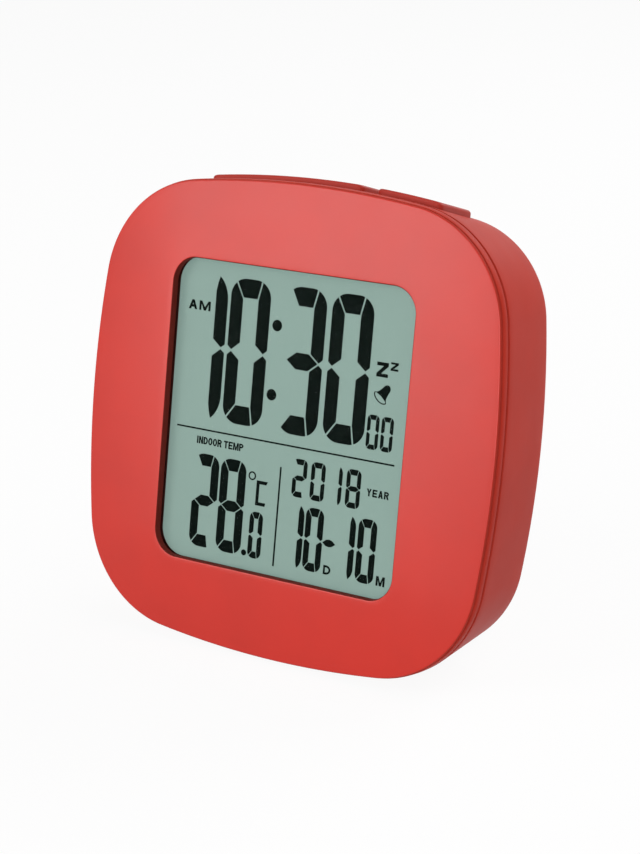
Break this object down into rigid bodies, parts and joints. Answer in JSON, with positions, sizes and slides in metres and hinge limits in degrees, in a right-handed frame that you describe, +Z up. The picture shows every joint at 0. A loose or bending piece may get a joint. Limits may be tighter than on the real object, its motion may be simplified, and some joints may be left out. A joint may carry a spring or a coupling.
{
  "type": "digital alarm clock",
  "caption": "Square red desk alarm clock with bowed sides, a large liquid-crystal display, raised snooze and alarm keys on top, and rear setting buttons and battery bay.",
  "frame": {"origin": "on the table, in the middle of the width, on the flat under the bottom wall", "axes": "+Z up, +Y to the back, +X to the right as the face is read; the face looks to -Y and leans back"},
  "size_m": [0.0868, 0.0436, 0.0864],
  "materials": {
    "red_shell": "satin",
    "red_key": "satin",
    "clear_window": "clear",
    "display_glass": "clear",
    "display_segments": "matt",
    "display_back": "reflective grey-green",
    "holder_plastic": "matt",
    "light_guide": "frosted",
    "lamp": "gloss",
    "elastomer": "matt",
    "board": "solder mask",
    "epoxy": "gloss",
    "can_metal": "bright",
    "bead": "gloss",
    "screw_steel": "bright",
    "switch_body": "matt",
    "plunger": "matt",
    "dark_button": "satin",
    "slide_metal": "bright",
    "buzzer_brass": "satin",
    "ceramic": "matt",
    "cell_jacket": "printed jacket",
    "contact": "bright nickel",
    "lead": "satin",
    "ribbon": "satin"
  },
  "bodies": {
    "case": {"front_case": "red_shell", "rear_case": "red_shell", "display_window": "clear_window", "lcd_front_glass": "display_glass", "lcd_segments": "display_segments", "lcd_rear_glass": "display_back", "lcd_holder": "holder_plastic", "light_guide": "light_guide", "backlight_lamps": "lamp", "elastomer_strip": "elastomer", "main_board": "board", "top_key_board": "board", "button_board": "board", "chip_blob": "epoxy", "quartz_can": "can_metal", "thermistor": "bead", "board_screws": "screw_steel", "case_screws": "screw_steel", "top_switches": "switch_body", "rear_switches": "switch_body", "slide_switch": "slide_metal", "buzzer_disc": "buzzer_brass", "buzzer_ceramic": "ceramic", "cells": "cell_jacket", "link_contact": "contact", "positive_contact": "contact", "negative_contact": "contact", "contact_springs": "contact", "battery_leads": "lead", "ribbon_cables": "ribbon"},
    "snooze": {"snooze_key": "red_key", "snooze_plungers": "plunger"},
    "alarm": {"alarm_key": "red_key", "alarm_plunger": "plunger"},
    "mode": {"mode_button": "dark_button", "mode_plunger": "plunger"},
    "set": {"set_button": "dark_button", "set_plunger": "plunger"},
    "up": {"up_button": "dark_button", "up_plunger": "plunger"},
    "down": {"down_button": "dark_button", "down_plunger": "plunger"},
    "alarm_slide": {"slide_knob": "dark_button"},
    "door": {"battery_door": "red_shell"}
  },
  "joints": [
    {"name": "snooze_press", "type": "slide", "parent": "case", "child": "snooze", "axis": [0, -0.153, -0.9882], "range_m": [0, 0.0006], "stiffness_N_per_m": 1000, "springref_m": -0.0004},
    {"name": "alarm_press", "type": "slide", "parent": "case", "child": "alarm", "axis": [0, -0.153, -0.9882], "range_m": [0, 0.0006], "stiffness_N_per_m": 1000, "springref_m": -0.0004},
    {"name": "mode_press", "type": "slide", "parent": "case", "child": "mode", "axis": [0, -0.9882, 0.153], "range_m": [0, 0.0006], "stiffness_N_per_m": 1000, "springref_m": -0.0004},
    {"name": "set_press", "type": "slide", "parent": "case", "child": "set", "axis": [0, -0.9882, 0.153], "range_m": [0, 0.0006], "stiffness_N_per_m": 1000, "springref_m": -0.0004},
    {"name": "up_press", "type": "slide", "parent": "case", "child": "up", "axis": [0, -0.9882, 0.153], "range_m": [0, 0.0006], "stiffness_N_per_m": 1000, "springref_m": -0.0004},
    {"name": "down_press", "type": "slide", "parent": "case", "child": "down", "axis": [0, -0.9882, 0.153], "range_m": [0, 0.0006], "stiffness_N_per_m": 1000, "springref_m": -0.0004},
    {"name": "alarm_switch_slide", "type": "slide", "parent": "case", "child": "alarm_slide", "axis": [0, 0.153, 0.9882], "range_m": [0, 0.004]},
    {"name": "door_slide", "type": "slide", "parent": "case", "child": "door", "axis": [0, 0.153, 0.9882], "range_m": [0, 0.0235]}
  ]
}
